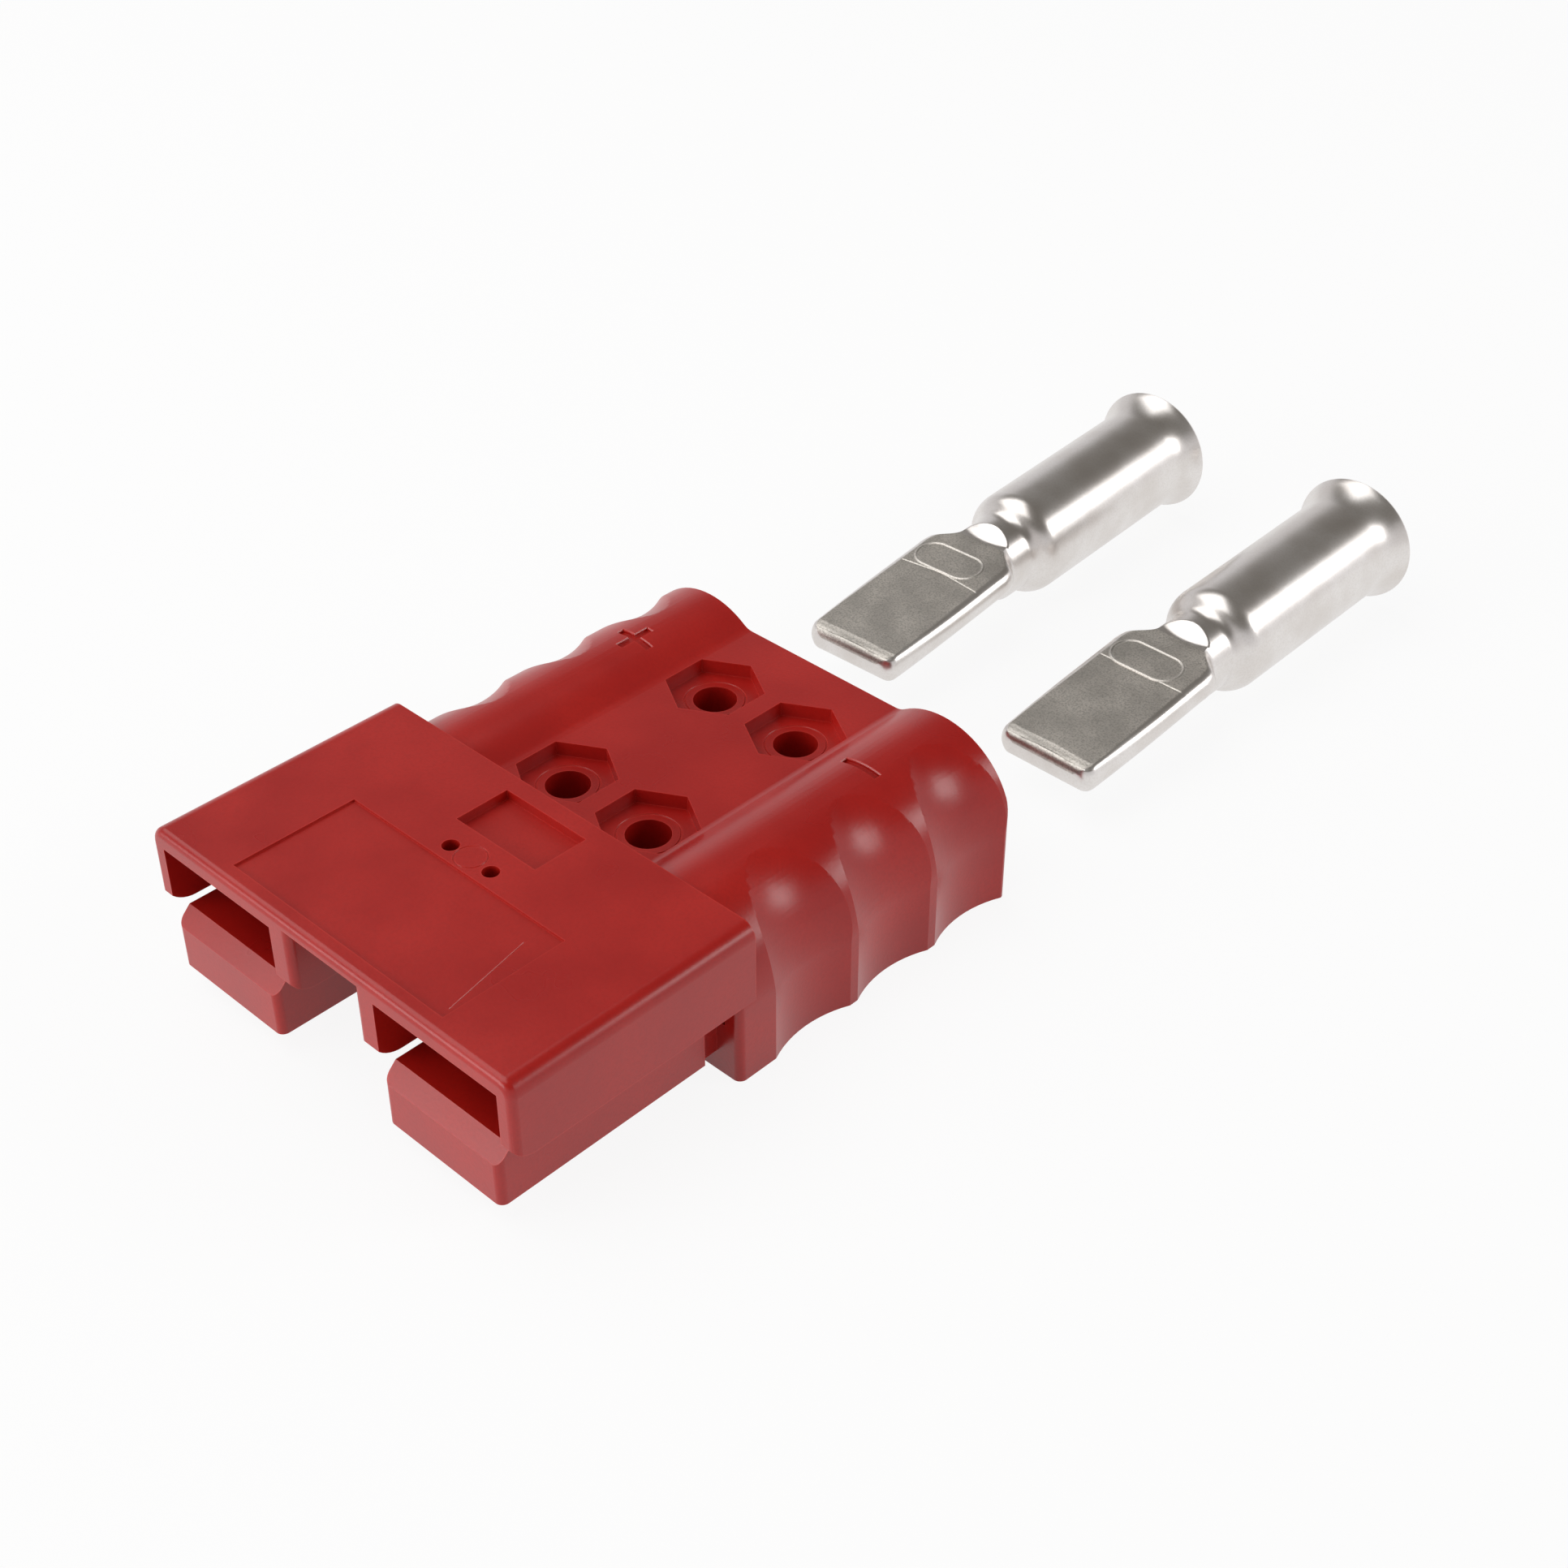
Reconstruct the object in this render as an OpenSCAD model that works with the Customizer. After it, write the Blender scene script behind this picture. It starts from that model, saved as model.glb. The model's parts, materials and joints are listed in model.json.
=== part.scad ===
// Genderless two-pole power connector: moulded housing, two crimp contacts and two leaf springs.
// Millimetres, +Z up. The origin is the centre of the four fixing holes, on the flat base.
// The mating face looks toward -Y, the cables leave toward +Y.

/* [Housing] */
// Overall width of the housing
body_w = 74; // [73:0.5:80]
// Overall height of the housing
body_h = 25.6; // [25:0.2:28]
// Overall length of the housing
body_l = 93.6; // [92:0.2:104]
// Length of the raised hood, from the mating face
hood_l = 41.5; // [41:0.5:42]
// Distance from the mating face to the full height shoulder
shoulder_y = 38.3; // [37:0.1:39]
// Radius of the long top edges of the hood
edge_r = 2.4; // [1.5:0.1:2.5]
// Radius of the front edges of the hood
front_r = 1.2; // [0.8:0.1:1.4]
// How far the middle web lies below the hood
web_drop = 2.9; // [2:0.1:4]
// Outer radius of the two cable barrels
dome_r = 13.2; // [12.8:0.1:13.8]
// How far the cable barrels lie below the hood
dome_drop = 0.1; // [0.1:0.1:0.6]

/* [Mating face] */
// Thickness of the hood over the two contact chambers
roof_t = 2.8; // [2.4:0.1:3]
// Width of each lower block
block_w = 22.35; // [22:0.05:22.5]
// Side clearance between a block and the walls of its mate
fit_gap = 0.6; // [0.4:0.1:0.9]
// Thickness of the two inner walls
rib_t = 3.9; // [3:0.1:4.4]
// Bevel along the top front edge of each block
block_bevel = 2.3; // [1.5:0.1:2.6]
// Clearance at the mating plane
mate_gap = 0.25; // [0.15:0.05:0.4]
// Depth of the gap between the two inner walls
gap_depth = 22; // [16:1:23]

/* [Top details] */
// Half width of the shallow label field
label_half = 21.5; // [18:0.5:24]
// Depth of the label field
label_depth = 0.35; // [0.2:0.05:0.5]
// Depth of the small code field
code_depth = 1.5; // [0.8:0.1:1.7]
// Diameter of the two pin holes
pin_d = 2.5; // [2:0.1:3]

/* [Fixing holes] */
// Hexagon of the nut pockets, across flats
hex_af = 13.2; // [12:0.1:13.6]
// Depth of the nut pockets
hex_depth = 2.3; // [1.8:0.1:3]
// Diameter of the fixing holes
hole_d = 6.6; // [5.5:0.1:6.8]
// Spacing of the fixing holes across the housing
hole_dx = 16.5; // [16:0.1:16.8]
// Spacing of the fixing holes along the housing
hole_dy = 29.4; // [28.6:0.1:30]

/* [Finger grips] */
// Depth of each finger scoop
scoop_depth = 1.6; // [1:0.1:2]
// Radius of each finger scoop
scoop_r = 17.9; // [16:0.1:20]

/* [Contacts] */
// Outer diameter of the crimp barrel
barrel_d = 18.4; // [17.8:0.1:18.8]
// Bore of the crimp barrel
wire_d = 15; // [14.4:0.1:15.4]
// Outer diameter of the bell mouth
bell_d = 22; // [21.4:0.1:22.2]
// Width of the flat blade at its tip
blade_w = 18; // [17.4:0.1:18.2]
// Thickness of the flat blade
blade_t = 4.7; // [4.2:0.1:5]
// Overall length of a contact
contact_l = 85.2; // [84.5:0.1:86]
// Clearance of a contact in its tunnel
tunnel_gap = 0.3; // [0.2:0.05:0.4]

/* [Layout] */
// Distance of the bell mouths behind the mating face
lay_y = 200; // [198:1:210]
// Sideways position of the contact on the plus side
lay_x_plus = -17.3; // [-20:0.1:-14]
// Sideways position of the contact on the minus side
lay_x_minus = 26.7; // [24:0.1:29]

/* [Hidden] */
$fn = 96;
eps = 0.05;
mid_z = body_h / 2;
web_z = body_h - web_drop;
pole_x = body_w / 2 - 14.5;
dome_x = body_w / 2 - dome_r;
dome_z = body_h - dome_drop - dome_r;
hole_y = body_l - 29.2;
roof_z = body_h - roof_t;
gap_roof = 1.7;
wall_z = mid_z + mate_gap;
lead_l = 3.6;
lead_r = 4.8;
block_top = mid_z - mate_gap;
block_z0 = roof_t + fit_gap;
block_out = 0.35;
block_x0 = pole_x - block_w / 2;
block_x1 = pole_x + block_w / 2;
chamber_x0 = block_x0 - fit_gap;
chamber_x1 = block_x1 + fit_gap;
gap_x = chamber_x0 - rib_t;
chamber_end = shoulder_y + 0.7;
blade_low = -0.9;
tunnel_z = mid_z + 0.2 + blade_low;
blade_half = blade_w / 2 + 0.6;
tunnel_r = max(barrel_d / 2, blade_half) + tunnel_gap;
mouth_r = bell_d / 2 + 0.2;
mouth_l = 5.5;
barrel_l = 44.6;
tunnel_y = body_l - barrel_l;
slot_w = 2 * blade_half + 0.8;
slot_z0 = 6.5;
pocket_y = 8.5;
scoop_pitch = 16.3;
scoop_end = 8.4;
groove_r = 15;
code_half = 8;
code_l = 9;
pin_dx = 8.2;
pin_depth = 4;
spring_w = 10;
spring_t = 0.6;
spring_y0 = 12;
spring_l = 30;
foot_l = 3;
neck_r = 6.8;
shoulder_r = 4.2;
barrel_r = barrel_d / 2;
bell_r = bell_d / 2;
bell_l = 6.6;
rim_r = 0.8;
wide_y = 29;
blade_tilt = 3.7;
tilt_y = 15.7;
bore_l = 36;
blade_top = blade_low + blade_t;
rest_len = barrel_l - shoulder_r - rim_r;
pitch = asin((bell_r - barrel_r) / rest_len);
yaw_plus = 1.6;
yaw_minus = -0.2;
shift_plus = 1;
shift_minus = -0.3;

// ---------- housing ----------

// Upright section of the hood with rounded top corners of radius r, drawn in by d.
module hood_section(r, d) {
  w = body_w / 2 - d;
  top = body_h - d;
  translate([-w, 0]) square([2 * w, top - r]);
  translate([-w + r, 0]) square([2 * (w - r), top]);
  for (s = [-1, 1]) translate([s * (w - r), top - r]) circle(r = r);
}

module plan(y0, y1, r0, r1) {
  translate([-body_w / 2, y0 + r0]) square([body_w, y1 - y0 - r0 - r1]);
  translate([-body_w / 2 + r0, y0]) square([body_w - 2 * r0, r0 + 1]);
  translate([-body_w / 2 + r1, y1 - r1 - 1]) square([body_w - 2 * r1, r1 + 1]);
  for (s = [-1, 1]) {
    translate([s * (body_w / 2 - r0), y0 + r0]) circle(r = r0);
    translate([s * (body_w / 2 - r1), y1 - r1]) circle(r = r1);
  }
}

// A section in X and Z carried along Y.
module along_y(y0, y1) {
  translate([0, y1, 0]) rotate([90, 0, 0]) linear_extrude(height = y1 - y0) children();
}

// A profile in Y and Z carried across X, centred on x.
module across_x(x, w) {
  translate([x - w / 2, 0, 0]) rotate([90, 0, 90]) linear_extrude(height = w) children();
}

// Hood block: long edges of one radius, and a smaller one round the front face.
module hood_block() {
  w = body_w / 2;
  along_y(front_r, hood_l) hood_section(edge_r, 0);
  along_y(0, front_r + eps) hood_section(edge_r - front_r, front_r);
  translate([-w + edge_r, front_r, body_h - front_r]) rotate([0, 90, 0])
    cylinder(r = front_r, h = 2 * (w - edge_r));
  for (m = [0, 1]) mirror([m, 0, 0]) {
    translate([w - front_r, front_r, 0]) cylinder(r = front_r, h = body_h - edge_r);
    translate([w - edge_r, 0, body_h - edge_r]) rotate([90, 0, 0]) rotate_extrude(angle = 90) hood_corner();
  }
}

module hood_corner() {
  intersection() {
    translate([0, -front_r]) square([edge_r, front_r]);
    union() {
      translate([0, -front_r]) square([edge_r - front_r, front_r]);
      translate([edge_r - front_r, -front_r]) circle(r = front_r);
    }
  }
}

module hood() {
  difference() {
    hood_block();
    translate([-body_w, -1, -1]) cube([2 * body_w, hood_l + 2, wall_z + 1]);
    lead_cut();
    for (s = [-1, 1]) chamber(s);
    rib_gap();
  }
}

// Rounded lead-in along the lower front edge of every wall.
module lead_cut() {
  rise = lead_r - sqrt(lead_r * lead_r - lead_l * lead_l);
  across_x(0, body_w + 2) difference() {
    translate([-1, wall_z - 1]) square([lead_l + 1, rise + 1.1]);
    translate([lead_l, wall_z + lead_r]) circle(r = lead_r);
  }
}

module chamber(s) {
  w = chamber_x1 - chamber_x0;
  translate([s * pole_x - w / 2, -1, mid_z - 4]) cube([w, chamber_end + 1, roof_z - mid_z + 4]);
}

module rib_gap() {
  h = body_h - gap_roof - mid_z + 1;
  r = 1.2;
  translate([-gap_x, -1, mid_z - 1]) cube([2 * gap_x, gap_depth + 1, h]);
  for (m = [0, 1]) mirror([m, 0, 0]) translate([gap_x, 0, mid_z - 1])
    linear_extrude(height = h) difference() {
      translate([-1, -1]) square([r + 1, r + 1]);
      translate([r, r]) circle(r = r);
    }
}

module dome_blend() {
  // Hollow corner of radius 3 between web and barrel.
  rf = 3;
  dz = web_z + rf - dome_z;
  dx = sqrt(pow(dome_r + rf, 2) - dz * dz);
  k = dome_r / (dome_r + rf);
  for (s = [-1, 1]) {
    difference() {
      polygon([
        [s * (dome_x - dx), web_z],
        [s * (dome_x - dx * k), dome_z + dz * k],
        [s * (dome_x - dx * k + 3), web_z - 2],
        [s * (dome_x - dx), web_z - 2]
      ]);
      translate([s * (dome_x - dx), web_z + rf]) circle(r = rf);
    }
  }
}

module body_section() {
  translate([-body_w / 2, 0]) square([body_w, dome_z]);
  translate([-dome_x, 0]) square([2 * dome_x, web_z]);
  for (s = [-1, 1]) translate([s * dome_x, dome_z]) circle(r = dome_r);
  dome_blend();
}

module body() {
  difference() {
    intersection() {
      along_y(shoulder_y, body_l) body_section();
      linear_extrude(height = body_h + 1) plan(shoulder_y, body_l, 1.2, 1);
      translate([-body_w, 0, 0]) cube([2 * body_w, body_l, body_h]);
    }
    for (s = [-1, 1], i = [0:2]) scoop(s, body_l - scoop_end - i * scoop_pitch);
  }
}

// Outline of one scoop.
module scoop_wave() {
  intersection() {
    translate([groove_r + scoop_r, 0]) circle(r = scoop_r);
    translate([groove_r - 1, -scoop_r]) square([scoop_depth + 5, 2 * scoop_r]);
  }
}

// A finger scoop: an upright groove that turns over onto the barrel and fades out there.
module scoop(s, y) {
  turn_z = dome_z - 0.95;
  translate([s * (body_w / 2 - scoop_depth - groove_r), y, 0]) mirror([s < 0 ? 1 : 0, 0, 0]) {
    translate([0, 0, -1]) linear_extrude(height = turn_z + 1) scoop_wave();
    translate([0, 0, turn_z]) rotate([90, 0, 0]) rotate_extrude(angle = 90) scoop_wave();
  }
}

module block(s) {
  translate([s * pole_x, -block_out, 0]) difference() {
    intersection() {
      across_x(0, block_w) polygon([
        [0, block_z0], [shoulder_y + 1, block_z0], [shoulder_y + 1, block_top],
        [block_bevel, block_top], [0, block_top - block_bevel]
      ]);
      linear_extrude(height = body_h) block_plan();
    }
    translate([s * block_w / 2 - 1, shoulder_y + block_out - 3.2, 0]) cube([2, 3.2, body_h]);
  }
}

module block_plan() {
  r = 1.2;
  translate([-block_w / 2, r]) square([block_w, shoulder_y + 2]);
  translate([-block_w / 2 + r, 0]) square([block_w - 2 * r, r + 1]);
  for (s = [-1, 1]) translate([s * (block_w / 2 - r), r]) circle(r = r);
}

// Everything that a contact, its spring and its cable need on one side.
module pole_cut(s) {
  translate([s * pole_x, 0, 0]) {
    translate([-slot_w / 2, pocket_y, slot_z0]) cube([slot_w, chamber_end - pocket_y + eps, body_h / 2]);
    translate([-slot_w / 2, chamber_end - 1, slot_z0])
      cube([slot_w, tunnel_y - chamber_end + 1 + eps, tunnel_z + neck_r + 0.3 - slot_z0]);
    translate([0, tunnel_y, tunnel_z]) rotate([-90, 0, 0]) cylinder(r = tunnel_r, h = barrel_l + 1);
    translate([0, body_l - mouth_l, tunnel_z]) rotate([-90, 0, 0])
      cylinder(r1 = tunnel_r, r2 = mouth_r, h = mouth_l);
  }
}

module fixing(sx, sy) {
  x = sx * hole_dx / 2;
  y = hole_y + sy * hole_dy / 2;
  translate([x, y, -1]) cylinder(d = hole_d, h = body_h + 2);
  translate([x, y, web_z - hex_depth]) rotate([0, 0, 30])
    cylinder(d = hex_af / cos(30), h = hex_depth + 4, $fn = 6);
}

module top_fields() {
  translate([-label_half, 2.7, body_h - label_depth]) cube([2 * label_half, 20, 1]);
  translate([-code_half, hood_l - 2.9 - code_l, body_h - code_depth]) cube([2 * code_half, code_l, 3]);
  for (s = [-1, 1]) translate([s * pin_dx / 2, 25.3, body_h - pin_depth]) cylinder(d = pin_d, h = pin_depth + 1);
}

module housing() {
  color("firebrick") translate([0, -hole_y, 0]) difference() {
    union() {
      hood();
      difference() {
        body();
        for (s = [-1, 1]) chamber(s);
      }
      for (s = [-1, 1]) block(s);
    }
    for (s = [-1, 1]) pole_cut(s);
    for (sx = [-1, 1], sy = [-1, 1]) fixing(sx, sy);
    top_fields();
  }
}

// ---------- leaf springs ----------

module spring_side() {
  rise = tunnel_z - blade_top - slot_z0 - 0.4;
  half = spring_l / 2 - foot_l;
  r = (half * half + rise * rise) / (2 * rise);
  for (y = [0, spring_l - foot_l - 1]) translate([y, 0]) square([foot_l + 1, spring_t]);
  intersection() {
    difference() {
      translate([spring_l / 2, rise - r]) circle(r = r);
      translate([spring_l / 2, rise - r]) circle(r = r - spring_t);
    }
    translate([foot_l - 0.5, 0]) square([spring_l - 2 * foot_l + 1, rise + 1]);
  }
}

module spring(s) {
  color("silver") translate([0, spring_y0 - hole_y, slot_z0]) across_x(s * pole_x, spring_w) spring_side();
}

module spring_plus() {
  spring(-1);
}

module spring_minus() {
  spring(1);
}

// ---------- crimp contacts ----------
// A contact is drawn along +Y with the centre of its bell mouth at the origin.

module bell_outer() {
  rc = (pow(bell_l - rim_r, 2) + pow(bell_r - barrel_r, 2)) / (2 * (bell_r - barrel_r));
  difference() {
    translate([0, -bell_l]) square([bell_r, bell_l - rim_r]);
    translate([barrel_r + rc, -bell_l]) circle(r = rc);
  }
  translate([0, -rim_r - eps]) square([bell_r - rim_r, rim_r + eps]);
  translate([bell_r - rim_r, -rim_r]) circle(r = rim_r);
}

module barrel_bore() {
  inner = wire_d / 2;
  step = bell_r - 1.8 - inner;
  rc = (36 + step * step) / (2 * step);
  translate([0, -bore_l]) square([inner, bore_l + 1]);
  difference() {
    translate([0, -6]) square([inner + step, 6 + eps]);
    translate([inner + rc, -6]) circle(r = rc);
  }
}

// Barrel with a rounded shoulder that runs in a hollow curve into the round neck.
module barrel_section() {
  rn = 2.5;
  cx = neck_r + rn;
  sx = barrel_r - shoulder_r;
  sy = -barrel_l + shoulder_r;
  span = shoulder_r + rn - 0.01;
  cy = sy - sqrt(span * span - pow(cx - sx, 2));
  ux = (cx - sx) / span;
  uy = (cy - sy) / span;
  k0 = shoulder_r - 0.3;
  k1 = shoulder_r + 0.3;
  neck_end = -barrel_l - 7;
  difference() {
    union() {
      translate([0, sy]) square([barrel_r, barrel_l - shoulder_r - bell_l + eps]);
      translate([sx, sy]) circle(r = shoulder_r);
      translate([0, -barrel_l]) square([sx, shoulder_r + 1]);
      difference() {
        polygon([
          [0, neck_end], [neck_r, neck_end], [neck_r, cy],
          [sx + ux * k1, sy + uy * k1], [sx + ux * k0, sy + uy * k0], [0, sy]
        ]);
        translate([cx, cy]) circle(r = rn);
      }
      bell_outer();
    }
    barrel_bore();
    translate([-50, -100]) square([50, 200]);
  }
}

// Barrel and neck; the neck is cut to a ramp where it meets the blade.
module barrel() {
  intersection() {
    rotate([-90, 0, 0]) rotate_extrude() barrel_section();
    across_x(0, 50) polygon([
      [5, -20], [5, 20], [-barrel_l - 0.6, 20], [-barrel_l - 0.6, neck_r + 0.5],
      [-barrel_l - 5.7, blade_top + 0.8], [-barrel_l - 6.6, blade_low + 1.7],
      [-barrel_l - 2.2, -neck_r - 0.2], [-barrel_l - 2.2, -20]
    ]);
  }
}

// Half width of the blade at distance y from its tip.
function blade_x(y) = blade_half - (blade_half - blade_w / 2) * pow(1 - y / wide_y, 2);

module blade_plan() {
  tip_r = 1.6;
  corner_r = 8;
  y1 = wide_y / 3;
  y2 = 2 * y1;
  tip_x = blade_x(tip_r);
  translate([0, -contact_l]) {
    polygon([
      [-tip_x + tip_r, 0], [tip_x - tip_r, 0], [tip_x, tip_r], [blade_x(y1), y1], [blade_x(y2), y2],
      [blade_half, wide_y], [-blade_half, wide_y], [-blade_x(y2), y2], [-blade_x(y1), y1], [-tip_x, tip_r]
    ]);
    for (s = [-1, 1]) {
      translate([s * (tip_x - tip_r), tip_r]) circle(r = tip_r);
      translate([s * (blade_half - corner_r), wide_y]) circle(r = corner_r);
    }
    translate([-4, wide_y]) square([8, contact_l - wide_y - barrel_l - 2]);
  }
}

// Blade section with bulging sides.
module blade_section() {
  bulge = 0.9;
  r = (bulge * bulge + blade_t * blade_t / 4) / (2 * bulge);
  intersection() {
    translate([-blade_half, blade_low]) square([2 * blade_half, blade_t]);
    union() {
      translate([-blade_half + r, blade_low]) square([2 * blade_half - 2 * r, blade_t]);
      for (s = [-1, 1]) translate([s * (blade_half - r), blade_low + blade_t / 2]) circle(r = r);
    }
  }
}

module blade_side() {
  r = 1.5;
  translate([-contact_l + r, blade_low]) square([contact_l - barrel_l + 1 - r, blade_t]);
  translate([-contact_l, blade_low + r]) square([r + 1, blade_t - 2 * r]);
  for (z = [blade_low + r, blade_top - r]) translate([-contact_l + r, z]) circle(r = r);
}

// The blade leans a little toward its tip.
module blade() {
  pivot = [0, tilt_y - contact_l, blade_top];
  translate(pivot) rotate([blade_tilt, 0, 0]) translate(-pivot) intersection() {
    translate([0, 0, blade_low]) linear_extrude(height = blade_t) blade_plan();
    translate([0, -barrel_l + 1, 0]) rotate([90, 0, 0]) linear_extrude(height = contact_l) blade_section();
    across_x(0, 30) blade_side();
  }
}

module contact() {
  barrel();
  blade();
}

// A contact laid down: it rests on its bell mouth and on the front of its barrel.
module laid(x, back, yaw) {
  lift = (bell_r - rim_r) * cos(pitch) + rim_r * sin(pitch) + rim_r;
  color("gainsboro") translate([x, lay_y + back - hole_y, lift]) rotate([pitch, 0, yaw]) contact();
}

module contact_plus() {
  laid(lay_x_plus, shift_plus, yaw_plus);
}

module contact_minus() {
  laid(lay_x_minus, shift_minus, yaw_minus);
}

housing();
spring_plus();
spring_minus();
contact_plus();
contact_minus();
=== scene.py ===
import json
import math

import bmesh
import bpy
from mathutils import Matrix, Vector


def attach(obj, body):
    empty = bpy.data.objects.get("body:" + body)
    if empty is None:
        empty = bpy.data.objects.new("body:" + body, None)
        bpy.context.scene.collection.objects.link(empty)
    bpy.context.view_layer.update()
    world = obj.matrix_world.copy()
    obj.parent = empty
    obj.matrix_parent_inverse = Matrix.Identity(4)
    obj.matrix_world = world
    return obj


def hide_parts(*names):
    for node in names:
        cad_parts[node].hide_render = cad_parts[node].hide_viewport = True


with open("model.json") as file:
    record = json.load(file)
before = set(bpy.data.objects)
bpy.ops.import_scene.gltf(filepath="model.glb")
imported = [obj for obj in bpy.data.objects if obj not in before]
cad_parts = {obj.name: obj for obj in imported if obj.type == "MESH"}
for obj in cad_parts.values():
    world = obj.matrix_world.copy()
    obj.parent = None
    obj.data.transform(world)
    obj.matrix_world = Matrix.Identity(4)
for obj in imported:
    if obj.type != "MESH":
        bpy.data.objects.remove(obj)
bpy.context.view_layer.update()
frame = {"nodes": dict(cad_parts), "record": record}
print("frame loaded:", sorted(frame["nodes"]))

mm = 0.001
scene = bpy.context.scene


# ---------- camera, floor and light ----------

view = {
    "place": (0.20205, -0.18979, 0.22305),
    "heading": -43.80,      # degrees from +Y, toward -X
    "dip": 36.68,           # degrees below the horizon
    "lens": 54.98,
    "sensor": 36.0,
}


def makeCamera(v):
    data = bpy.data.cameras.new("camera")
    data.lens = v["lens"]
    data.sensor_width = v["sensor"]
    data.clip_start = 0.01
    data.clip_end = 20
    cam = bpy.data.objects.new("camera", data)
    scene.collection.objects.link(cam)
    a, e = math.radians(v["heading"]), math.radians(v["dip"])
    ahead = Vector((math.sin(a) * math.cos(e), math.cos(a) * math.cos(e), -math.sin(e)))
    cam.location = v["place"]
    cam.rotation_mode = "QUATERNION"
    cam.rotation_quaternion = ahead.to_track_quat("-Z", "Y")
    scene.camera = cam


studio = {
    "floorColour": (0.86, 0.86, 0.86, 1),
    "floorSize": 6.0,
    "floorGlow": 0.9,
    "keySize": (1.2, 1.0),
    "keyPower": 7.0,
    "keyPlace": (-0.4, -0.2, 0.95),
    "frontSize": (0.9, 0.4),
    "frontPower": 4.2,
    "frontPlace": (-0.35, -0.95, 0.35),
    "sideSize": (0.5, 0.4),
    "sidePower": 3.0,
    "sidePlace": (0.8, 0.75, 0.55),
    "bright": (0.78, 0.77, 0.78, 1),
    "dark": (0.17, 0.16, 0.145, 1),
    "darkFrom": 0.30,
    "darkTo": 0.60,
}


def tree(material):
    material.use_nodes = True
    nodes = material.node_tree.nodes
    nodes.clear()
    return nodes, material.node_tree.links


def makeFloor(s):
    half = s["floorSize"] / 2
    mesh = bpy.data.meshes.new("floor")
    corners = [(-half, -half, 0), (half, -half, 0), (half, half, 0), (-half, half, 0)]
    mesh.from_pydata(corners, [], [(0, 1, 2, 3)])
    floor = bpy.data.objects.new("floor", mesh)
    scene.collection.objects.link(floor)
    paper = bpy.data.materials.new("floorPaper")
    nodes, links = tree(paper)
    out = nodes.new("ShaderNodeOutputMaterial")
    mix = nodes.new("ShaderNodeMixShader")
    matt = nodes.new("ShaderNodeBsdfDiffuse")
    glow = nodes.new("ShaderNodeEmission")
    path = nodes.new("ShaderNodeLightPath")
    seen = nodes.new("ShaderNodeMath")
    share = nodes.new("ShaderNodeMath")
    matt.inputs["Color"].default_value = s["floorColour"]
    glow.inputs["Color"].default_value = (1, 1, 1, 1)
    seen.operation = "MAXIMUM"
    share.operation = "MULTIPLY"
    share.inputs[1].default_value = s["floorGlow"]
    links.new(path.outputs["Is Camera Ray"], seen.inputs[0])
    links.new(path.outputs["Is Glossy Ray"], seen.inputs[1])
    links.new(seen.outputs[0], share.inputs[0])
    links.new(share.outputs[0], mix.inputs[0])
    links.new(matt.outputs[0], mix.inputs[1])
    links.new(glow.outputs[0], mix.inputs[2])
    links.new(mix.outputs[0], out.inputs["Surface"])
    mesh.materials.append(paper)


def makeLamp(name, place, aim, size, power):
    data = bpy.data.lights.new(name, "AREA")
    data.shape = "RECTANGLE"
    data.size, data.size_y = size
    data.energy = power
    lamp = bpy.data.objects.new(name, data)
    lamp.location = place
    lamp.rotation_mode = "QUATERNION"
    lamp.rotation_quaternion = (Vector(aim) - Vector(place)).to_track_quat("-Z", "Y")
    scene.collection.objects.link(lamp)


def makeStudio(s):
    makeFloor(s)
    makeLamp("keyLamp", s["keyPlace"], (0, 0.03, 0), s["keySize"], s["keyPower"])
    makeLamp("frontLamp", s["frontPlace"], (0, 0, 0.01), s["frontSize"], s["frontPower"])
    makeLamp("sideLamp", s["sidePlace"], (0, 0.05, 0), s["sideSize"], s["sidePower"])
    world = bpy.data.worlds.new("studio")
    scene.world = world
    world.use_nodes = True
    nodes, links = world.node_tree.nodes, world.node_tree.links
    nodes.clear()
    out = nodes.new("ShaderNodeOutputWorld")
    back = nodes.new("ShaderNodeBackground")
    white = nodes.new("ShaderNodeBackground")
    mix = nodes.new("ShaderNodeMixShader")
    path = nodes.new("ShaderNodeLightPath")
    place = nodes.new("ShaderNodeTexCoord")
    part = nodes.new("ShaderNodeSeparateXYZ")
    edge = nodes.new("ShaderNodeMapRange")
    tone = nodes.new("ShaderNodeMix")
    edge.interpolation_type = "SMOOTHSTEP"
    edge.inputs["From Min"].default_value = s["darkFrom"]
    edge.inputs["From Max"].default_value = s["darkTo"]
    tone.data_type = "RGBA"
    tone.inputs[6].default_value = s["bright"]
    tone.inputs[7].default_value = s["dark"]
    white.inputs["Color"].default_value = (1, 1, 1, 1)
    links.new(place.outputs["Generated"], part.inputs[0])
    links.new(part.outputs["Z"], edge.inputs["Value"])
    links.new(edge.outputs["Result"], tone.inputs[0])
    links.new(tone.outputs[2], back.inputs["Color"])
    links.new(path.outputs["Is Camera Ray"], mix.inputs[0])
    links.new(back.outputs[0], mix.inputs[1])
    links.new(white.outputs[0], mix.inputs[2])
    links.new(mix.outputs[0], out.inputs["Surface"])
    scene.view_settings.view_transform = "Standard"


makeCamera(view)
makeStudio(studio)
print("camera and studio made")


# ---------- materials ----------

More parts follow.
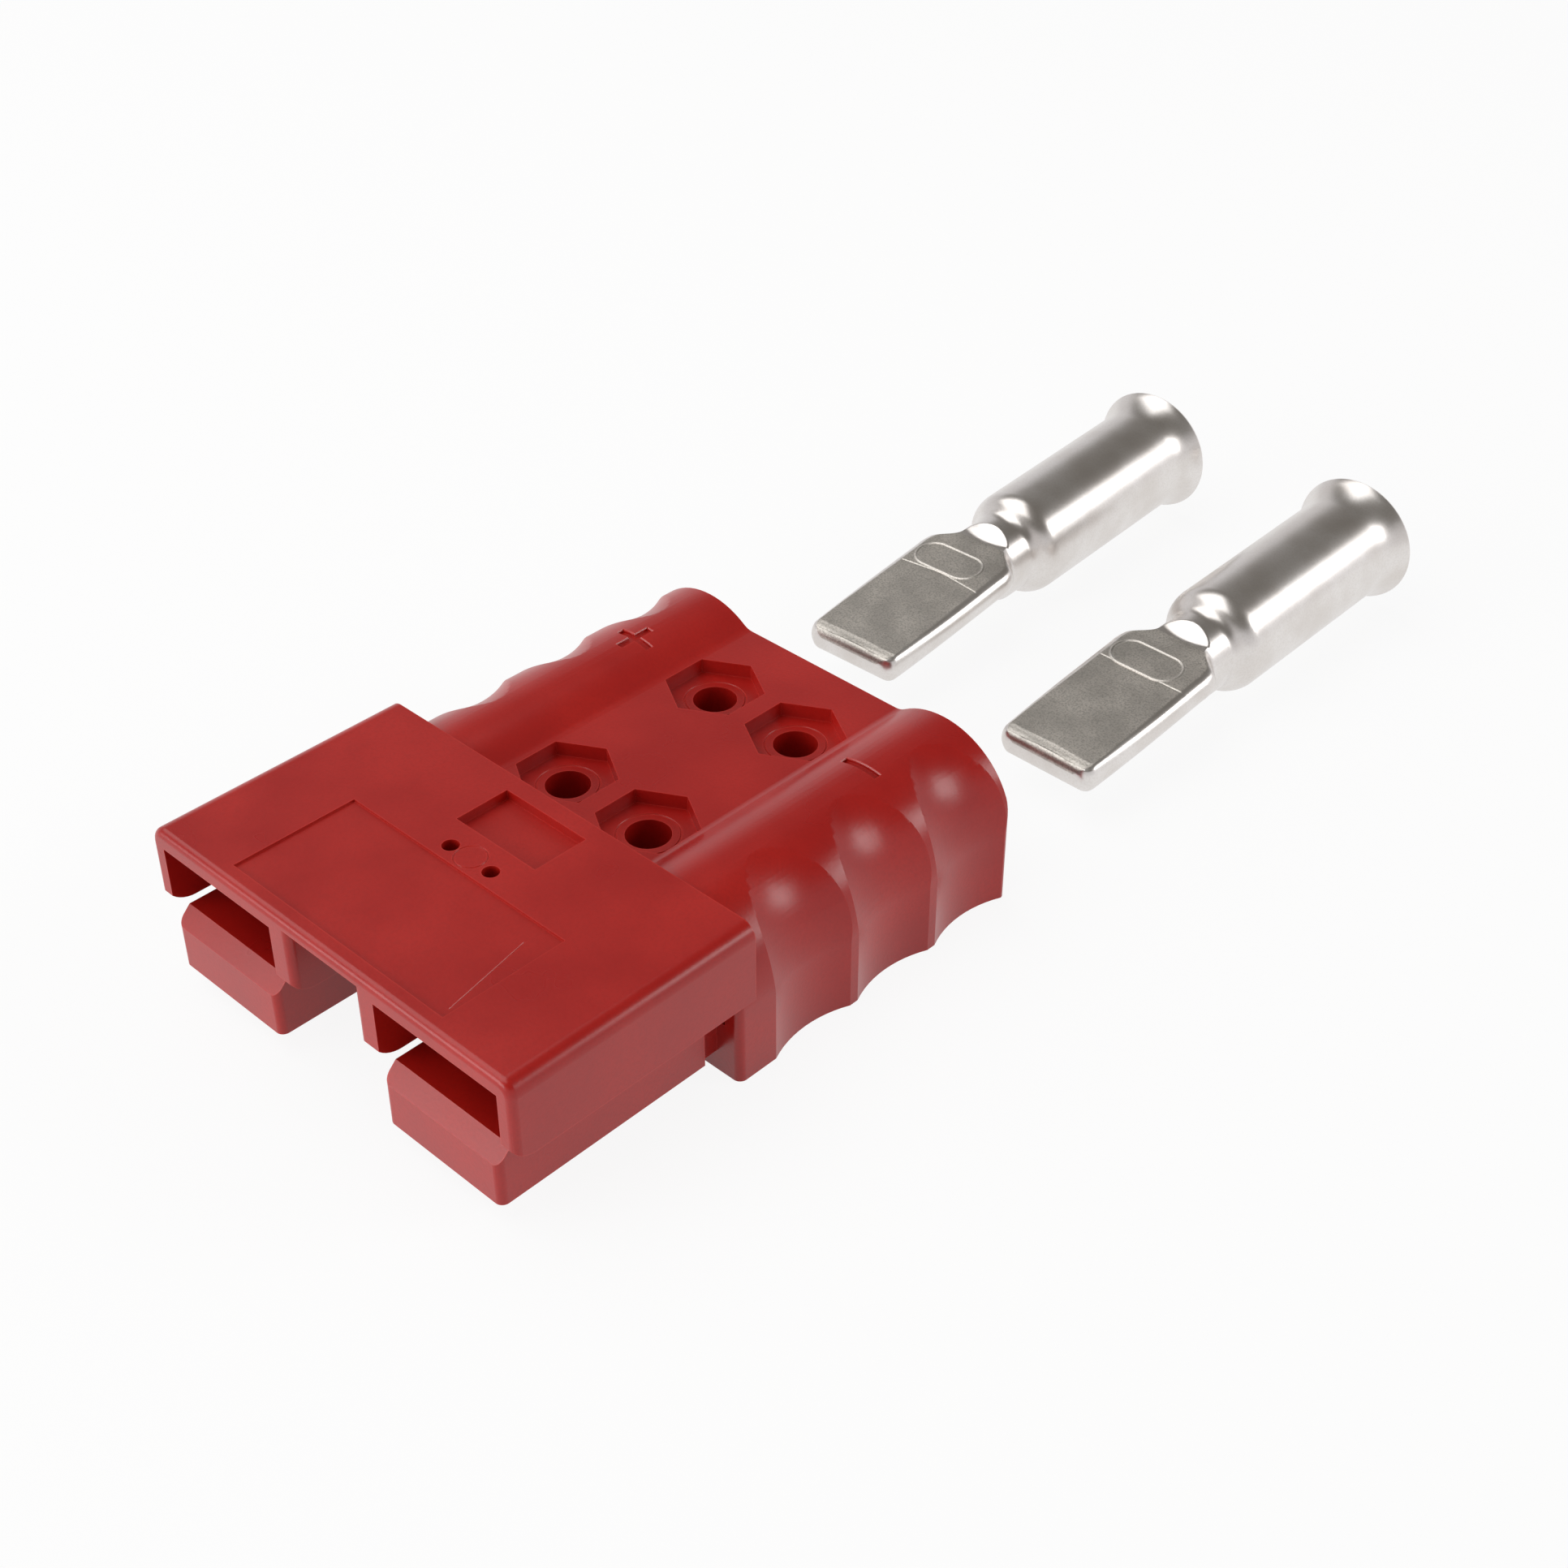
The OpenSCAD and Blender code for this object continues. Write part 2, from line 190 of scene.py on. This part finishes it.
# The lighter edge colour and its share in these tables paint a highlight on the rounded edges, where they would
# catch the light.
redPlastic = {
    "colour": (0.42, 0.010, 0.006),
    "deep": (0.35, 0.007, 0.005),
    "edgeHighlight": (0.62, 0.040, 0.028),
    "pits": (0.30, 0.006, 0.004),
    "speckle": 0.35,
    "edgeHighlightShare": 0.6,
    "roughness": (0.24, 0.34),
    "patchScale": 60.0,
    "grainScale": 2200.0,
    "grainDepth": 0.22,
}
silverPlate = {
    "colour": (0.78, 0.75, 0.73),
    "deep": (0.70, 0.66, 0.63),
    "edgeHighlight": (0.92, 0.90, 0.88),
    "pits": (0.60, 0.56, 0.52),
    "speckle": 0.3,
    "edgeHighlightShare": 0.3,
    "roughness": (0.26, 0.34),
    "patchScale": 150.0,
    "grainScale": 3000.0,
    "grainDepth": 0.08,
}
silverSatin = {
    "colour": (0.66, 0.62, 0.57),
    "deep": (0.54, 0.51, 0.47),
    "edgeHighlight": (0.84, 0.81, 0.77),
    "pits": (0.36, 0.34, 0.31),
    "speckle": 0.75,
    "edgeHighlightShare": 0.4,
    "roughness": (0.36, 0.46),
    "patchScale": 170.0,
    "grainScale": 3400.0,
    "grainDepth": 0.35,
}
springSteel = {
    "colour": (0.58, 0.58, 0.57),
    "deep": (0.50, 0.50, 0.49),
    "edgeHighlight": (0.75, 0.75, 0.74),
    "pits": (0.40, 0.40, 0.39),
    "speckle": 0.3,
    "edgeHighlightShare": 0.4,
    "roughness": (0.28, 0.36),
    "patchScale": 150.0,
    "grainScale": 2600.0,
    "grainDepth": 0.1,
}


def surfaceGroup():
    # Large soft patches, fine grain and the object's edges, shared by all the materials. The edges mask places a
    # painted highlight.
    group = bpy.data.node_groups.new("surfaceMasks", "ShaderNodeTree")
    face = group.interface
    for label in ("Patch Scale", "Grain Scale"):
        face.new_socket(name=label, in_out="INPUT", socket_type="NodeSocketFloat")
    for label in ("Patches", "Grain", "Edges"):
        face.new_socket(name=label, in_out="OUTPUT", socket_type="NodeSocketFloat")
    nodes, links = group.nodes, group.links
    entry = nodes.new("NodeGroupInput")
    leave = nodes.new("NodeGroupOutput")
    place = nodes.new("ShaderNodeTexCoord")
    patch = nodes.new("ShaderNodeTexNoise")
    grain = nodes.new("ShaderNodeTexNoise")
    shape = nodes.new("ShaderNodeNewGeometry")
    rounded = nodes.new("ShaderNodeBevel")
    same = nodes.new("ShaderNodeVectorMath")
    edge = nodes.new("ShaderNodeMapRange")
    rounded.samples = 4
    rounded.inputs["Radius"].default_value = 0.35 * mm
    same.operation = "DOT_PRODUCT"
    patch.inputs["Detail"].default_value = 3.0
    grain.inputs["Detail"].default_value = 2.0
    edge.inputs["From Min"].default_value = 0.99
    edge.inputs["From Max"].default_value = 0.85
    links.new(place.outputs["Object"], patch.inputs["Vector"])
    links.new(place.outputs["Object"], grain.inputs["Vector"])
    links.new(entry.outputs["Patch Scale"], patch.inputs["Scale"])
    links.new(entry.outputs["Grain Scale"], grain.inputs["Scale"])
    links.new(shape.outputs["Normal"], same.inputs[0])
    links.new(rounded.outputs["Normal"], same.inputs[1])
    links.new(same.outputs["Value"], edge.inputs["Value"])
    links.new(patch.outputs["Fac"], leave.inputs["Patches"])
    links.new(grain.outputs["Fac"], leave.inputs["Grain"])
    links.new(edge.outputs["Result"], leave.inputs["Edges"])
    return group


masks = surfaceGroup()


def mixColour(nodes, first, second):
    mix = nodes.new("ShaderNodeMix")
    mix.data_type = "RGBA"
    if first:
        mix.inputs[6].default_value = (*first, 1)
    mix.inputs[7].default_value = (*second, 1)
    return mix


def makeSurface(name, p, metallic):
    material = bpy.data.materials.new(name)
    nodes, links = tree(material)
    out = nodes.new("ShaderNodeOutputMaterial")
    skin = nodes.new("ShaderNodeBsdfPrincipled")
    mask = nodes.new("ShaderNodeGroup")
    mask.node_tree = masks
    mask.inputs["Patch Scale"].default_value = p["patchScale"]
    mask.inputs["Grain Scale"].default_value = p["grainScale"]
    spread = nodes.new("ShaderNodeMapRange")
    spread.inputs["From Min"].default_value = 0.35
    spread.inputs["From Max"].default_value = 0.65
    body = mixColour(nodes, p["deep"], p["colour"])
    speck = nodes.new("ShaderNodeMapRange")
    speck.inputs["From Min"].default_value = 0.42
    speck.inputs["From Max"].default_value = 0.68
    speck.inputs["To Max"].default_value = p["speckle"]
    pits = mixColour(nodes, None, p["pits"])
    # Painted highlight: the rounded edges found by the Bevel node get the lighter edge colour, standing in for
    # light caught on the edges.
    edges = mixColour(nodes, None, p["edgeHighlight"])
    edgeHighlightShare = nodes.new("ShaderNodeMath")
    edgeHighlightShare.operation = "MULTIPLY"
    edgeHighlightShare.inputs[1].default_value = p["edgeHighlightShare"]
    gloss = nodes.new("ShaderNodeMapRange")
    gloss.inputs["To Min"].default_value, gloss.inputs["To Max"].default_value = p["roughness"]
    bump = nodes.new("ShaderNodeBump")
    bump.inputs["Strength"].default_value = p["grainDepth"]
    bump.inputs["Distance"].default_value = 0.05 * mm
    skin.inputs["Metallic"].default_value = metallic
    links.new(mask.outputs["Patches"], spread.inputs["Value"])
    links.new(spread.outputs["Result"], body.inputs[0])
    links.new(mask.outputs["Edges"], edgeHighlightShare.inputs[0])
    links.new(edgeHighlightShare.outputs[0], edges.inputs[0])
    links.new(mask.outputs["Grain"], speck.inputs["Value"])
    links.new(speck.outputs["Result"], pits.inputs[0])
    links.new(body.outputs[2], pits.inputs[6])
    links.new(pits.outputs[2], edges.inputs[6])
    links.new(edges.outputs[2], skin.inputs["Base Color"])
    links.new(mask.outputs["Patches"], gloss.inputs["Value"])
    links.new(gloss.outputs["Result"], skin.inputs["Roughness"])
    links.new(mask.outputs["Grain"], bump.inputs["Height"])
    links.new(bump.outputs["Normal"], skin.inputs["Normal"])
    links.new(skin.outputs[0], out.inputs["Surface"])
    return material


def dress(node, material):
    mesh = frame["nodes"][node].data
    mesh.materials.clear()
    mesh.materials.append(material)


red = makeSurface("redPlastic", redPlastic, 0.0)
silver = makeSurface("silverPlate", silverPlate, 1.0)
satin = makeSurface("silverSatin", silverSatin, 1.0)
steel = makeSurface("springSteel", springSteel, 1.0)
for name in ("spring_plus", "spring_minus"):
    dress(name, steel)
print("materials made")


# ---------- housing ----------

housing = {
    "merge": 0.002,
    "roundOver": 0.35,
    "sharpAbove": 26,
    "sharpShade": 20,
    "ridgeAt": (12.65, -3.65),
    "ridgeSink": 0.28,
    "domeR": 13.2, "domeX": 23.8, "domeZ": 12.3,
    "signDepth": 0.6,
    "plusAt": (-23.4, 12.8), "minusAt": (23.2, 12.15),
    "armHalf": 3.1, "strokeHalf": 0.55,
    "topZ": 25.6, "witnessAt": (-0.2, -38.9), "witnessR": 2.33,
    "pocketZ": 20.4, "pocketAt": (8.25, 14.7), "markR": 4.55,
    "fieldZ": 25.25, "fieldLine": ((17.7, -45.2), (20.6, -60.0)),
}


def bandFaces(rings, count):
    faces = []
    for j in range(rings - 1):
        for i in range(count):
            k = (i + 1) % count
            faces.append((j * count + i, j * count + k, (j + 1) * count + k, (j + 1) * count + i))
    return faces


def ridgeEdge(h, edge):
    a, b = [v.co / mm for v in edge.verts]
    mid = (a + b) / 2
    off = min(abs(mid.y - y) for y in h["ridgeAt"])
    return abs(mid.x) > 28 and off < 1.6 and abs(a.y - b.y) < 0.8


def plainMesh(node, h):
    # Merged copy of the node's mesh. Ridges between the scoops are eased, other sharp edges get a weight.
    bm = bmesh.new()
    bm.from_mesh(frame["nodes"][node].data)
    bmesh.ops.remove_doubles(bm, verts=bm.verts, dist=h["merge"] * mm)
    bmesh.ops.dissolve_limit(bm, angle_limit=math.radians(0.2), verts=bm.verts, edges=bm.edges)
    bm.normal_update()
    limit = math.radians(h["sharpAbove"])
    sharp, eased = set(), {}
    for edge in bm.edges:
        if len(edge.link_faces) != 2:
            continue
        turn = edge.calc_face_angle(0)
        if turn < limit:
            continue
        if ridgeEdge(h, edge):
            for v in edge.verts:
                eased[v] = min(1.0, turn / math.radians(50))
        else:
            sharp.add(frozenset(v.index for v in edge.verts))
    for v, share in eased.items():
        way = v.normal.copy()
        if v.co.z < mm:
            way.z = 0
        v.co -= way.normalized() * h["ridgeSink"] * share * mm
    points = [tuple(v.co) for v in bm.verts]
    faces = [tuple(v.index for v in f.verts) for f in bm.faces]
    bm.free()
    mesh = bpy.data.meshes.new(node + "_moulding")
    mesh.from_pydata(points, [], faces)
    weights = mesh.attributes.new("bevel_weight_edge", "FLOAT", "EDGE")
    for edge in mesh.edges:
        if frozenset(edge.vertices) in sharp:
            weights.data[edge.index].value = 1.0
    return mesh


def bake(piece):
    # Runs the modifiers of a piece and keeps the result as its mesh.
    graph = bpy.context.evaluated_depsgraph_get()
    mesh = bpy.data.meshes.new_from_object(piece.evaluated_get(graph), depsgraph=graph)
    piece.modifiers.clear()
    piece.data = mesh


def domeTop(h, x):
    return h["domeZ"] + math.sqrt(h["domeR"] ** 2 - (abs(x) - h["domeX"]) ** 2)


def signBar(h, at, halfX, halfY):
    # Bar whose floor follows the barrel, with walls that flare near the surface.
    rings = []
    for sink, grow in ((-h["signDepth"], 0.0), (-0.2, 0.04), (0.35, 0.4)):
        hx, hy = halfX + grow, halfY + grow
        xs = [at[0] + hx * (i / 6.0 - 1) for i in range(13)]
        row = [(x, at[1] - hy, domeTop(h, x) + sink) for x in xs]
        row += [(x, at[1] + hy, domeTop(h, x) + sink) for x in reversed(xs)]
        rings.append(row)
    points = [p for ring in rings for p in ring]
    faces = bandFaces(3, 26)
    for base, flip in ((0, False), (52, True)):
        for i in range(12):
            quad = (base + i, base + i + 1, base + 24 - i, base + 25 - i)
            faces.append(tuple(reversed(quad)) if flip else quad)
    return points, faces


def ringTube(x, y, z, big, small):
    points = []
    for i in range(64):
        a = 2 * math.pi * i / 64
        for k in range(8):
            b = 2 * math.pi * (k + 0.5) / 8
            r = big + small * math.cos(b)
            points.append((x + r * math.cos(a), y + r * math.sin(a), z + small * math.sin(b)))
    faces = []
    for i in range(64):
        for k in range(8):
            m, q = (i + 1) % 64, (k + 1) % 8
            faces.append((i * 8 + k, m * 8 + k, m * 8 + q, i * 8 + q))
    return points, faces


def lineCut(h):
    (ax, ay), (bx, by) = h["fieldLine"]
    z = h["fieldZ"]
    side = Vector((by - ay, ax - bx, 0)).normalized() * 0.12
    points = []
    for x, y in ((ax, ay), (bx, by)):
        points += [(x, y, z - 0.1), (x + side.x, y + side.y, z + 0.05), (x - side.x, y - side.y, z + 0.05)]
    return points, [(0, 1, 2), (5, 4, 3), (0, 3, 4, 1), (1, 4, 5, 2), (2, 5, 3, 0)]


def carve(piece, shapes):
    points, faces = [], []
    for p, f in shapes:
        shift = len(points)
        points += [Vector(q) * mm for q in p]
        faces += [tuple(i + shift for i in face) for face in f]
    mesh = bpy.data.meshes.new("cutter")
    mesh.from_pydata(points, [], faces)
    bm = bmesh.new()
    bm.from_mesh(mesh)
    bmesh.ops.recalc_face_normals(bm, faces=bm.faces)
    bm.to_mesh(mesh)
    bm.free()
    tool = bpy.data.objects.new("cutter", mesh)
    scene.collection.objects.link(tool)
    dig = piece.modifiers.new("dig", "BOOLEAN")
    dig.operation = "DIFFERENCE"
    dig.solver = "EXACT"
    dig.object = tool
    bake(piece)
    bpy.data.objects.remove(tool)


def makeHousing(h):
    mesh = plainMesh("housing", h)
    mesh.materials.append(red)
    mesh.polygons.foreach_set("use_smooth", [True] * len(mesh.polygons))
    piece = bpy.data.objects.new("housing_moulding", mesh)
    scene.collection.objects.link(piece)
    soften = piece.modifiers.new("soften", "BEVEL")
    soften.width = h["roundOver"] * mm
    soften.segments = 2
    soften.limit_method = "WEIGHT"
    soften.use_clamp_overlap = True
    bake(piece)
    px, py = h["pocketAt"]
    corners = [(sx * px, sy * py) for sx in (-1, 1) for sy in (-1, 1)]
    marks = [ringTube(x, y, h["pocketZ"] + 0.02, h["markR"], 0.16) for x, y in corners]
    marks.append(ringTube(*h["witnessAt"], h["topZ"] + 0.02, h["witnessR"], 0.15))
    marks.append(lineCut(h))
    carve(piece, marks + [signBar(h, h["plusAt"], h["armHalf"], h["strokeHalf"]),
                          signBar(h, h["minusAt"], h["armHalf"], h["strokeHalf"])])
    carve(piece, [signBar(h, h["plusAt"], h["strokeHalf"], h["armHalf"])])
    piece.data.set_sharp_from_angle(angle=math.radians(h["sharpShade"]))
    even = piece.modifiers.new("even", "WEIGHTED_NORMAL")
    even.keep_sharp = True
    even.weight = 60
    bake(piece)
    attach(piece, "root")
    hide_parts("housing")
    return piece


moulding = makeHousing(housing)
print("housing made:", len(moulding.data.polygons), "faces")


# ---------- crimp contacts ----------

contact = {
    "length": 85.2, "tipHalf": 9.0, "midHalf": 9.6, "widest": 20.0, "cornerAt": 29.0, "cornerR": 8.0,
    "top": 3.8, "low": -0.9, "bulge": (1.0, 1.6), "neckR": 6.8, "barrelR": 9.2, "bellR": 11.0,
    "shoulderR": 4.2, "filletR": 2.5, "barrel": 44.6, "bell": 6.6, "rim": 0.8, "bore": 7.5,
    "lean": 3.7, "leanAt": 15.7, "tipR": 2.0,
    "frameAt": (-1.0, 27.1), "frameSize": (12.7, 6.3), "beadR": 0.4, "beadSink": 0.27,
    "stepDrop": 0.05, "fade": (31.4, 35.6), "flatAt": 35.1, "satinTo": 34.3,
    "tipRoll": 1.5, "edgeSoft": 0.35, "boreDepth": 36, "mouthDepth": 6, "mountBack": 21,
}
topSteps = 24


def ease(a, b, t):
    s = min(max((t - a) / (b - a), 0.0), 1.0)
    return s * s * (3 - 2 * s)


def bladeHalf(c, t):
    if t < c["cornerAt"]:
        w = c["midHalf"]
        if t < c["widest"]:
            w -= (c["midHalf"] - c["tipHalf"]) * (1 - t / c["widest"]) ** 2
        r = c["tipR"]
        if t < r:
            w += math.sqrt(r * r - (r - t) ** 2) - r
        return w
    reach = c["cornerR"] ** 2 - (t - c["cornerAt"]) ** 2
    s = c["midHalf"] - c["cornerR"] + math.sqrt(max(reach, 0.0)) - c["neckR"]
    return c["neckR"] + (s + math.sqrt(s * s + 0.5)) / 2


def leanShift(c, t):
    return (t - c["leanAt"]) * math.tan(math.radians(c["lean"]))


def barrelRadius(c, t):
    # Distance t runs from the tip to the bell mouth.
    sy = c["length"] - c["barrel"] + c["shoulderR"]
    sx = c["barrelR"] - c["shoulderR"]
    fx = c["neckR"] + c["filletR"]
    span = c["shoulderR"] + c["filletR"]
    fy = sy - math.sqrt(span * span - (fx - sx) ** 2)
    ty = sy + (fy - sy) * c["shoulderR"] / span
    if t < fy:
        return c["neckR"]
    if t < ty:
        return fx - math.sqrt(c["filletR"] ** 2 - (t - fy) ** 2)
    if t < sy:
        return sx + math.sqrt(c["shoulderR"] ** 2 - (sy - t) ** 2)
    start = c["length"] - c["bell"]
    if t < start:
        return c["barrelR"]
    rc = ((c["bell"] - c["rim"]) ** 2 + (c["bellR"] - c["barrelR"]) ** 2) / (2 * (c["bellR"] - c["barrelR"]))
    return c["barrelR"] + rc - math.sqrt(rc * rc - (t - start) ** 2)


def curvePoint(a, b, d, f):
    g = 1 - f
    return tuple(g * g * p + 2 * g * f * q + f * f * r for p, q, r in zip(a, b, d))


def bladeOutline(c, w, bulge, squeeze):
    # Right half of the blade's section, from the middle of the top to the middle of the bottom.
    top, low = c["top"], c["low"]
    mid = (top + low) / 2
    half = (top - low) / 2
    r = (bulge ** 2 + half * half) / (2 * bulge)
    edge = w - bulge
    a = math.asin((half - 0.4) / r)
    side = (w - r + r * math.cos(a), mid + r * math.sin(a))
    flat = edge - c["edgeSoft"]
    points = [(flat * i / (topSteps - 1), top) for i in range(topSteps)]
    points += [curvePoint((flat, top), (edge, top), side, f) for f in (0.33, 0.67)]
    turns = [a * (1 - i / 8.0) for i in range(17)]
    points += [(w - r + r * math.cos(b), mid + r * math.sin(b)) for b in turns]
    under = (side[0], 2 * mid - side[1])
    points += [curvePoint(under, (edge, low), (flat, low), f) for f in (0.33, 0.67)]
    points += [(flat * (1 - i / 11.0), low) for i in range(12)]
    return [(x, mid + (z - mid) * squeeze) for x, z in points]


def roundOutline(c, r, lift):
    # Same points on a circle, whose top is cut flat where lift is 0.
    chord = r * (c["top"] + leanShift(c, c["flatAt"])) / c["neckR"]
    a0 = math.asin(chord / r)
    points = []
    for i in range(topSteps):
        x = r * math.cos(a0) * i / (topSteps - 1)
        arc = math.sqrt(r * r - x * x)
        points.append((x, min(arc, chord + lift(x))))
    angles = [a0 - 0.05, a0 - 0.1] + [a0 - 0.15 - (a0 + 0.75) * i / 16.0 for i in range(17)]
    angles += [-0.96, -1.02] + [-1.08 - (math.pi / 2 - 1.08) * i / 11.0 for i in range(12)]
    return points + [(r * math.cos(a), r * math.sin(a)) for a in angles]


def contactRing(c, t, step):
    fade = ease(*c["fade"], t)
    lift = lambda x: 99.0
    if t < 39.6:
        lift = lambda x: 2.0 * ease(34.5, 38.6, t - 1.0 * (x / 4.5) ** 2)
    circle = roundOutline(c, barrelRadius(c, t), lift)
    if fade >= 1:
        return circle
    tip = c["tipRoll"]
    squeeze = 1.0
    if t < tip:
        half = (c["top"] - c["low"]) / 2
        squeeze = (half - tip + math.sqrt(tip * tip - (tip - t) ** 2)) / half
    few, many = c["bulge"]
    blade = bladeOutline(c, bladeHalf(c, t), few + (many - few) * ease(0, 22, t), squeeze)
    down = leanShift(c, t)
    ring = []
    for i, ((bx, bz), (cx, cz)) in enumerate(zip(blade, circle)):
        x = bx + (cx - bx) * fade
        z = bz + down
        if i < topSteps + 2:
            z -= topRelief(c, x, t, step) * (1 if i < topSteps else 0.5)
        ring.append((x, z + (cz - z) * fade))
    return ring


def topRelief(c, x, t, step):
    # Fine line across the blade, and the uneven hollow along its tip.
    at = step[0] + step[1] * x
    drop = c["stepDrop"] * (1 - ease(at - 0.1, at + 0.1, t)) + 0.05 * math.exp(-((t - at) / 0.14) ** 2)
    near = 0.75 + 0.9 * ease(0.0, 1.0, (-x - 1.5) / 6.0) + 0.08 * math.sin(0.6 * x + 1.0)
    far = near + 1.6
    if near < t < far:
        drop += 0.13 * math.sin(math.pi * ((t - near) / (far - near)) ** 0.6)
    return drop


def contactStations(c):
    steps = [0.0, 0.05, 0.15, 0.3, 0.5]
    steps += [0.7 + 0.12 * i for i in range(21)]
    steps += [3.4, 4.2] + [6.0 + 2.5 * i for i in range(7)] + [22.0, 22.5]
    steps += [22.6 + 0.07 * i for i in range(34)]
    steps += [25.4 + 0.8 * i for i in range(5)] + [29.0 + 0.4 * i for i in range(13)]
    steps += [34.1 + 0.15 * i for i in range(44)] + [40.7 + 0.3 * i for i in range(14)]
    steps += [44.8, 48, 54, 60, 66, 72, 76] + [c["length"] - c["bell"] + 0.5 * i for i in range(12)]
    return steps


def contactMesh(c, step):
    outline = []
    stations = contactStations(c)
    for t in stations:
        half = contactRing(c, t, step)
        outline.append([(x, t, z) for x, z in half] + [(-x, t, z) for x, z in half[-2:0:-1]])
    last = c["length"]
    rim = c["rim"]
    mouth = []
    for i in range(1, 9):
        a = i * math.pi / 16
        mouth.append((c["bellR"] - rim + rim * math.cos(a), last - rim + rim * math.sin(a)))
    step = c["bellR"] - 1.8 - c["bore"]
    deep = c["mouthDepth"]
    rc = (deep * deep + step * step) / (2 * step)
    for i in range(9):
        y = deep * i / 8.0
        mouth.append((c["bore"] + rc - math.sqrt(rc * rc - (deep - y) ** 2), last - y))
    mouth += [(c["bore"], last - 20), (c["bore"], last - c["boreDepth"])]
    base = roundOutline(c, 1.0, lambda x: 9.0)
    base = base + [(-x, z) for x, z in base[-2:0:-1]]
    for r, t in mouth:
        outline.append([(x * r, t, z * r) for x, z in base])
    count = len(outline[0])
    points = [p for ring in outline for p in ring]
    faces = bandFaces(len(outline), count)
    top = [int(i < topSteps or i >= count - topSteps) for i in range(count)]
    satinRings = sum(1 for t in stations if t < c["satinTo"])
    kinds = [top[k % count] if k // count < satinRings else 0 for k in range(len(faces))]
    faces.append(tuple(reversed(range(count))))
    faces.append(tuple(range(len(points) - count, len(points))))
    return points, faces, kinds + [0, 0]


def stadiumBead(c, at):
    # Low raised line round the stamp field, mostly sunk in the blade.
    wide, tall = c["frameSize"]
    r = tall / 2
    straight = wide / 2 - r
    path = []
    for i in range(24):
        a = -math.pi / 2 + math.pi * i / 23
        path.append((straight + r * math.cos(a), r * math.sin(a), a))
    for i in range(24):
        a = math.pi / 2 + math.pi * i / 23
        path.append((-straight + r * math.cos(a), r * math.sin(a), a))
    points, faces = [], []
    for x, y, a in path:
        for k in range(8):
            b = 2 * math.pi * k / 8
            out = c["beadR"] * math.cos(b)
            up = c["beadR"] * math.sin(b)
            t = at[1] + y + out * math.sin(a)
            points.append((at[0] + x + out * math.cos(a), t, c["top"] + leanShift(c, t) - c["beadSink"] + up))
    n = len(path)
    for j in range(n):
        for k in range(8):
            m, q = (j + 1) % n, (k + 1) % 8
            faces.append((j * 8 + k, m * 8 + k, m * 8 + q, j * 8 + q))
    return points, faces


def contactFrame(wireMount, c):
    # Axis along the bore, from the blade tip to the bell mouth; z up.
    along = Vector(wireMount["axis"]).normalized()
    side = along.cross(Vector((0, 0, 1))).normalized()
    up = side.cross(along)
    rimAt = Vector(wireMount["pos_m"]) + along * c["mountBack"] * mm
    origin = rimAt - along * c["length"] * mm
    place = Matrix((side, along, up)).transposed().to_4x4()
    place.translation = origin
    return place


def addPiece(name, points, faces, place, materials, kinds, sharp=32):
    mesh = bpy.data.meshes.new(name)
    mesh.from_pydata([place @ (Vector(p) * mm) for p in points], [], faces)
    for material in materials:
        mesh.materials.append(material)
    mesh.polygons.foreach_set("material_index", kinds)
    bm = bmesh.new()
    bm.from_mesh(mesh)
    bmesh.ops.recalc_face_normals(bm, faces=bm.faces)
    bm.to_mesh(mesh)
    bm.free()
    mesh.polygons.foreach_set("use_smooth", [True] * len(mesh.polygons))
    mesh.set_sharp_from_angle(angle=math.radians(sharp))
    piece = bpy.data.objects.new(name, mesh)
    scene.collection.objects.link(piece)
    return piece


def makeContact(node, wireName, step):
    mount = [m for m in frame["record"]["mounts"] if m["name"] == wireName][0]
    points, faces, kinds = contactMesh(contact, step)
    more, moreFaces = stadiumBead(contact, contact["frameAt"])
    shift = len(points)
    faces = faces + [tuple(i + shift for i in f) for f in moreFaces]
    kinds = kinds + [1] * len(moreFaces)
    piece = addPiece(node + "_plated", points + more, faces, contactFrame(mount, contact), [silver, satin], kinds)
    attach(piece, "root")
    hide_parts(node)
    return piece


# The last pair is where the fine line crosses the blade's middle, and its slant.
makeContact("contact_plus", "wire_plus", (23.7, -0.11))
makeContact("contact_minus", "wire_minus", (24.0, 0.0))
print("contacts made")
